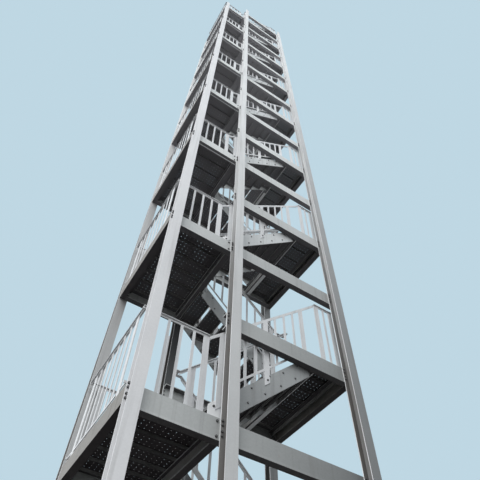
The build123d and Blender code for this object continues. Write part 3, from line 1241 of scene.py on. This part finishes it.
@dataclass
class Flights:
    """The flights: plate stringers with punched treads between them."""

    stair: Stair
    tread_depth: float = 0.24
    tread_width: float = 0.6294
    tread_y: float = 0.1603
    end_plate: float = 0.005
    end_height: float = 0.06
    end_edge: float = 0.001
    stringer_edge: float = 0.0012
    margin: float = 1e-4
    flat_angle: float = 0.01
    sharp_angle: float = 1.0

    def build(self, dresser: Dresser) -> None:
        """Builds the near and the far flight of each storey.

        Args:
            dresser: Puts the finishes on.
        """
        stringers = self._stringers()
        treads = self._treads()
        lowest = self.stair.half_level(1)
        for number in range(1, self.stair.storeys + 1):
            climb = self.stair.half_level(number) - lowest
            self._flight("near", number, stringers, treads, climb, dresser)
            self._flight("far", number, stringers, treads, climb - lowest, dresser)
        bpy.data.objects.remove(stringers)
        bpy.data.objects.remove(treads)

    def _flight(
        self,
        row: str,
        number: int,
        stringers: Piece,
        treads: Piece,
        climb: float,
        dresser: Dresser,
    ) -> None:
        """Copies the lowest near flight to its place.

        Args:
            row: near or far.
            number: The storey, from 1.
            stringers: The lowest near flight's stringers.
            treads: The lowest near flight's treads.
            climb: How far up the flight goes.
            dresser: Puts the finishes on.
        """
        kinds = (("stringers", stringers, STRINGER, Slot.FLIGHT), ("treads", treads, SHEET, Slot.FLIGHT))
        for kind, pattern, finish, slot in kinds:
            piece = Bench.copy(pattern, f"{row}_{kind}_{number}")
            if row == "far":
                Bench.turn(piece, pi, (self.stair.turn_x, self.stair.middle_y, 0))
            Bench.move(piece, (0, 0, climb))
            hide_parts(f"{row}_flight_{number}")
            dresser.dress(piece, finish)

    def _stringers(self) -> Piece:
        """Takes the lowest near flight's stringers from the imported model, and softens their edges.

        Returns:
            Both stringers.
        """
        piece = Bench.copy(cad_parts["near_flight_1"], "stringers")
        piece.parent = None
        for key in list(piece.keys()):
            del piece[key]
        Bench.pick(piece, "VERT", lambda _: True)
        bpy.ops.mesh.remove_doubles(threshold=SAME)
        Bench.leave()
        low = self.stair.outer_face + self.stair.plate + self.margin
        high = self.stair.inner_face - self.stair.plate - self.margin
        Bench.pick(piece, "VERT", lambda corner: low < corner.co.y < high)
        bpy.ops.mesh.delete(type="VERT")
        Bench.leave()
        Bench.pick(piece, "FACE", lambda _: True)
        bpy.ops.mesh.dissolve_limited(angle_limit=self.flat_angle)
        Bench.leave()
        Bench.apply(
            piece,
            "BEVEL",
            width=self.stringer_edge,
            segments=1,
            limit_method="ANGLE",
            angle_limit=self.sharp_angle,
        )
        return piece

    def _treads(self) -> Piece:
        """Models the lowest near flight's treads.

        Returns:
            All its treads, with their end plates.
        """
        stair = self.stair
        punched = PunchedSheet(columns=11, rows=4, length=self.tread_width, width=self.tread_depth)
        sheet = punched.build("treads")
        Bench.turn(sheet, pi / 2)
        top = stair.half_level(1) + stair.rise
        middle = (stair.near_start + self.tread_depth / 2, self.tread_y + self.tread_width / 2, top)
        Bench.move(sheet, middle)
        parts = [sheet]
        last_y = self.tread_y + self.tread_width - self.end_plate
        for y in (self.tread_y, last_y):
            low = (stair.near_start, y, top - self.end_height)
            high = (stair.near_start + self.tread_depth, y + self.end_plate, top)
            parts.append(Bench.block("end_plate", low, high, self.end_edge))
        treads = Bench.weld(reversed(parts), "treads")
        Bench.repeat(treads, stair.treads, (stair.going, 0, stair.rise))
        return treads


@dataclass
class FlightBolts:
    """The bolts of the treads and of the flight railings."""

    stair: Stair
    tread_bolts: tuple[float, float] = (0.037, 0.204)
    tread_drop: float = 0.024
    rail_flat: float = 0.008
    bar_bolts: tuple[tuple[float, float], ...] = ((0.657, 0.058),)
    plate_bolts: tuple[tuple[float, float], ...] = ((0.038, 0.058), (0.689, 0.020))

    def build(self, dresser: Dresser) -> None:
        """Builds the bolts of the near flights, and turns copies of them to the far flights.

        Args:
            dresser: Puts the finish on.
        """
        stair = self.stair
        small = Fastener(across=0.019, height=0.008, washer=0.012, washer_height=0.002)
        sides = (
            ("outer", stair.outer_face, Facing.FRONT, -1),
            ("inner", stair.inner_face, Facing.BACK, 1),
        )
        for side, face, facing, outwards in sides:
            treads = Bench.scatter(small.build(facing), self._tread_places(face), f"{side}_tread_bolts")
            Bench.repeat(treads, stair.treads, (stair.going, 0, stair.rise))
            places = self._rail_places(face + outwards * self.rail_flat, self.bar_bolts)
            places += self._rail_places(face, self.plate_bolts)
            rails = Bench.scatter(small.build(facing), places, f"{side}_rail_bolts")
            bolts = Bench.weld((rails, treads), f"near_{side}_bolts")
            stair.up_the_tower(bolts)
            far = Bench.copy(bolts, f"far_{side}_bolts")
            Bench.turn(far, pi, (stair.turn_x, stair.middle_y, 0))
            Bench.move(far, (0, 0, -stair.half_level(1)))
            dresser.dress(bolts, FASTENER)
            dresser.dress(far, FASTENER)

    def _tread_places(self, face: float) -> list[Place]:
        """The first tread's bolts on a stringer's face."""
        height = self.stair.half_level(1) + self.stair.rise - self.tread_drop
        return [(self.stair.near_start + along, face, height) for along in self.tread_bolts]

    def _rail_places(self, face: float, bolts: Iterable[tuple[float, float]]) -> list[Place]:
        """The bolts of a flight's railing in the lowest near flight.

        Args:
            face: The face that they sit on.
            bolts: How far along the flight each one is, and how far below the line of the nosings.

        Returns:
            Their places.
        """
        stair = self.stair
        slope = stair.rise / stair.going
        foot = stair.half_level(1) + stair.rise
        return [(stair.near_start + along, face, foot + along * slope - drop) for along, drop in bolts]


@dataclass
class FrameBolts:
    """The bolts between channels and posts, and at the ends of the landing beams."""

    stair: Stair
    gauge: float = 0.045
    drops: tuple[float, float, float, float] = (0.022, 0.066, 0.130, 0.174)
    flange_face: float = 0.049
    web_face: float = 0.06
    web_inside: float = 0.069
    beam_drops: tuple[float, float] = (0.036, 0.188)
    beam_bolt: float = 0.811

    def build(self, dresser: Dresser) -> None:
        """Builds the front row's bolts, and mirrors copies of them to the back row.

        Args:
            dresser: Puts the finish on.
        """
        stair = self.stair
        half = stair.half_level(1)
        full = stair.full_level(1)
        left, mid, right = stair.post_places
        heads = self._rows(left, mid, right, height=half) + self._rows(mid, right, height=full)
        recess = [(x, self.flange_face, z) for x, z in heads]
        beams = [(self.beam_bolt, self.web_face, half - drop) for drop in self.beam_drops]
        bolt = Fastener(across=0.022, washer=0.0135)
        front = Bench.scatter(bolt.build(Facing.FRONT), recess + beams, "frame_heads")
        clear = [(x, z) for x, z in heads if self._is_clear(x, z)]
        nuts = [(x, self.web_inside, z) for x, z in clear]
        nut = Fastener(across=0.022, height=0.012, washer=0.0)
        inside = Bench.scatter(nut.build(Facing.BACK), nuts, "frame_nuts")
        bolts = Bench.weld((inside, front), "front_frame_bolts")
        stair.up_the_tower(bolts)
        back = Bench.copy(bolts, "back_frame_bolts")
        Bench.flip(back, stair.middle_y)
        dresser.dress(bolts, FASTENER)
        dresser.dress(back, FASTENER)

    def _rows(self, *posts: float, height: float) -> list[tuple[float, float]]:
        """Both rows of bolts at each post, as places along X and up Z."""
        sides = (-self.gauge, self.gauge)
        return [(post + side, height - drop) for post in posts for side in sides for drop in self.drops]

    def _is_clear(self, x: float, z: float) -> bool:
        """Whether a nut has room behind the channel's web, away from the side channels."""
        at_half_level = z < self.stair.half_level(1)
        return x > 0 and (at_half_level or x < self.stair.post_places[2])


@dataclass
class Feet:
    """The anchors that hold the base plates, and the welds round the posts' feet."""

    stair: Stair
    plate_top: float = 0.02
    spacing: float = 0.22
    depth: float = 0.12
    web: float = 0.0065
    flange: float = 0.011
    bead: float = 0.008
    bead_edge: float = 0.0036

    def build(self, dresser: Dresser) -> None:
        """Builds the anchors and the welds of the six posts.

        Args:
            dresser: Puts the finishes on.
        """
        posts = [(x, y) for y in (0.0, self.stair.back_row) for x in self.stair.post_places]
        half = self.spacing / 2
        corners = [(x, y) for x in (-half, half) for y in (-half, half)]
        anchor = Fastener(across=0.030, height=0.016, washer=0.02, stud=0.028)
        places = [(x + a, y + b, self.plate_top) for x, y in posts for a, b in corners]
        anchors = Bench.scatter(anchor.build(Facing.UP), places, "anchors")
        dresser.dress(anchors, FASTENER)
        beads = Bench.weld(self._beads(), "beads")
        welds = Bench.scatter(beads, [(x, y, 0) for x, y in posts], "foot_welds")
        dresser.dress(welds, CHANNEL)

    def _beads(self) -> list[Piece]:
        """Models the four beads round one post's foot.

        Returns:
            The beads, about the origin.
        """
        half = self.depth / 2
        inner = half - self.flange
        web = self.web / 2
        low = self.plate_top
        high = low + self.bead
        spans = (
            ((-half, -half - self.bead, low), (half, -half, high)),
            ((-half, half, low), (half, half + self.bead, high)),
            ((-web - self.bead, -inner, low), (-web, inner, high)),
            ((web, -inner, low), (web + self.bead, inner, high)),
        )
        return [Bench.block("bead", first, last, self.bead_edge) for first, last in spans]


@dataclass
class OddStrip:
    """A short loose flat beside one baluster of the second left landing's front railing."""

    low: Place = (0.246, 0.128, 4.232)
    high: Place = (0.261, 0.136, 4.956)
    edge: float = 0.001

    def build(self, dresser: Dresser) -> None:
        """Builds the strip, and has the dresser put its finish on."""
        strip = Bench.block("loose_strip", self.low, self.high, self.edge)
        dresser.dress(strip, RAIL)


@dataclass
class Carcass:
    """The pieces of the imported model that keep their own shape."""

    finishes: tuple[tuple[str, Zinc], ...] = (
        ("back_left_post", BACK_LEFT_POST),
        ("back_mid_post", BACK_MID_POST),
        ("back_right_post", BACK_RIGHT_POST),
        ("left_post", OPEN_POST),
        ("right_post", RIGHT_POST),
        ("_post", POST),
        ("side_channels", SIDE),
        ("_channels", CHANNEL),
        ("_plates", CHANNEL),
        ("right_landing_beams", RIGHT_BEAM),
        ("_beams", BEAM),
        ("_ledgers", LEDGER),
        ("_planks", SHEET),
        ("_flight_", STRINGER),
        ("rail", RAIL),
    )

    def build(self, dresser: Dresser) -> None:
        """Dresses each node by the kind of piece that its name gives.

        Args:
            dresser: Puts the finishes on.
        """
        for name in sorted(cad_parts):
            finish = next(finish for part, finish in self.finishes if part in name)
            dresser.dress_node(name, finish)


@dataclass(frozen=True)
class Lamp:
    """A broad soft lamp, far away.

    Attributes:
        name: The lamp's name.
        strength: How strong it is.
        turn: Its turn from shining straight down.
        softness: How wide it looks, as an angle.
        height: How high up it stands.
    """

    name: str
    strength: float
    turn: Place
    softness: float
    height: float = 30.0

    def build(self) -> None:
        """Adds the lamp."""
        bpy.ops.object.light_add(type="SUN", rotation=self.turn, location=(0, 0, self.height))
        lamp = bpy.context.view_layer.objects.active
        lamp.name = self.name
        lamp.data.energy = self.strength
        lamp.data.angle = self.softness
        log.info("built the %s lamp", self.name)


@dataclass
class Studio:
    """The floor, the light and the camera."""

    floor_size: float = 160.0
    floor_tone: Colour = (0.80, 0.80, 0.79, 1.0)
    floor_bounce: Colour = (0.06, 0.06, 0.06, 1.0)
    floor_roughness: float = 0.9
    floor_gloss: float = 0.1
    floor_drop: float = 0.001
    backdrop: Colour = (0.52, 0.68, 0.77, 1.0)
    sky: Colour = (0.85, 0.86, 0.87, 1.0)
    lamps: tuple[Lamp, ...] = (
        Lamp("key", strength=2.1, turn=(0.85, -0.15, -0.62), softness=0.9),
        Lamp("fill", strength=0.9, turn=(-0.9, 0.2, 0.5), softness=1.2),
    )
    eye: Place = (-0.9095, -3.0815, 1.6409)
    yaw: float = 0.5115
    pitch: float = 0.9235
    roll: float = 0.0578
    lens: float = 35.716
    shift: tuple[float, float] = (0.020525, 0.060421)
    sensor: float = 36.0
    nearest: float = 0.05
    furthest: float = 500.0

    def build(self) -> None:
        """Builds the floor, the backdrop, the lamps and the camera."""
        bpy.context.scene.view_settings.view_transform = "Standard"
        self._floor()
        self._backdrop()
        for lamp in self.lamps:
            lamp.build()
        self._camera()

    def _seen(self, recipe: Recipe) -> Signal:
        """Tells what the camera sees from what only lights the tower.

        Args:
            recipe: The node tree.

        Returns:
            1 where the camera looks, straight, by a reflection or through glass, and else 0.
        """
        straight = recipe.node("ShaderNodeLightPath", output="Is Camera Ray")
        outputs = straight.socket.node.outputs
        mirrored = Signal(recipe, outputs["Is Glossy Ray"])
        through = Signal(recipe, outputs["Is Transmission Ray"])
        return straight.over(mirrored).over(through)

    def _floor(self) -> None:
        """A plain pale floor."""
        bpy.ops.object.select_all(action="DESELECT")
        bpy.ops.mesh.primitive_plane_add(size=self.floor_size, location=(0, 0, -self.floor_drop))
        floor = Bench.named("floor")
        material = bpy.data.materials.new("floor_paint")
        material.use_nodes = True
        recipe = Recipe(material.node_tree)
        colour = self._seen(recipe).between(self.floor_bounce, self.floor_tone)
        shader = material.node_tree.nodes["Principled BSDF"]
        shader.inputs["Roughness"].default_value = self.floor_roughness
        shader.inputs["Specular IOR Level"].default_value = self.floor_gloss
        recipe.feed(shader.inputs["Base Color"], colour)
        floor.data.materials.append(material)
        log.info("built the floor")

    def _backdrop(self) -> None:
        """Soft even light from all round, with a pale backdrop for the camera."""
        world = bpy.data.worlds.new("studio")
        world.use_nodes = True
        bpy.context.scene.world = world
        recipe = Recipe(world.node_tree)
        colour = self._seen(recipe).between(self.sky, self.backdrop)
        recipe.feed(world.node_tree.nodes["Background"].inputs["Color"], colour)
        log.info("built the backdrop")

    def _camera(self) -> None:
        """The camera, at the foot of the tower and looking up."""
        flat = Vector((sin(self.yaw), cos(self.yaw), 0))
        level = Vector((cos(self.yaw), -sin(self.yaw), 0))
        ahead = cos(self.pitch) * flat + sin(self.pitch) * Vector((0, 0, 1))
        above = -sin(self.pitch) * flat + cos(self.pitch) * Vector((0, 0, 1))
        right = cos(self.roll) * level + sin(self.roll) * above
        up = -sin(self.roll) * level + cos(self.roll) * above
        turn = Matrix((right, up, -ahead)).transposed().to_euler()
        bpy.ops.object.camera_add(location=self.eye, rotation=turn)
        camera = bpy.context.view_layer.objects.active
        camera.data.lens = self.lens
        camera.data.sensor_width = self.sensor
        camera.data.shift_x, camera.data.shift_y = self.shift
        camera.data.clip_start = self.nearest
        camera.data.clip_end = self.furthest
        bpy.context.scene.camera = camera
        log.info("built the camera")


def main() -> None:
    """Builds the stair tower's visual model and its studio."""
    logging.basicConfig(level=logging.INFO)
    stair = Stair()
    dresser = Dresser()
    numbers = range(1, stair.storeys + 1)
    half_levels = [stair.half_level(number) for number in numbers]
    full_levels = [stair.full_level(number) for number in numbers]
    Carcass().build(dresser)
    left_plank = PunchedSheet(columns=15, rows=4, length=0.864, width=0.226)
    right_plank = PunchedSheet(columns=8, rows=4, length=0.497, width=0.226)
    Landing("left", start_x=0.022, sheet=left_plank, heights=half_levels).build(dresser)
    Landing("right", start_x=2.036, sheet=right_plank, heights=full_levels).build(dresser)
    Flights(stair).build(dresser)
    FlightBolts(stair).build(dresser)
    FrameBolts(stair).build(dresser)
    Feet(stair).build(dresser)
    OddStrip().build(dresser)
    Studio().build()


if __name__ == "__main__":
    main()
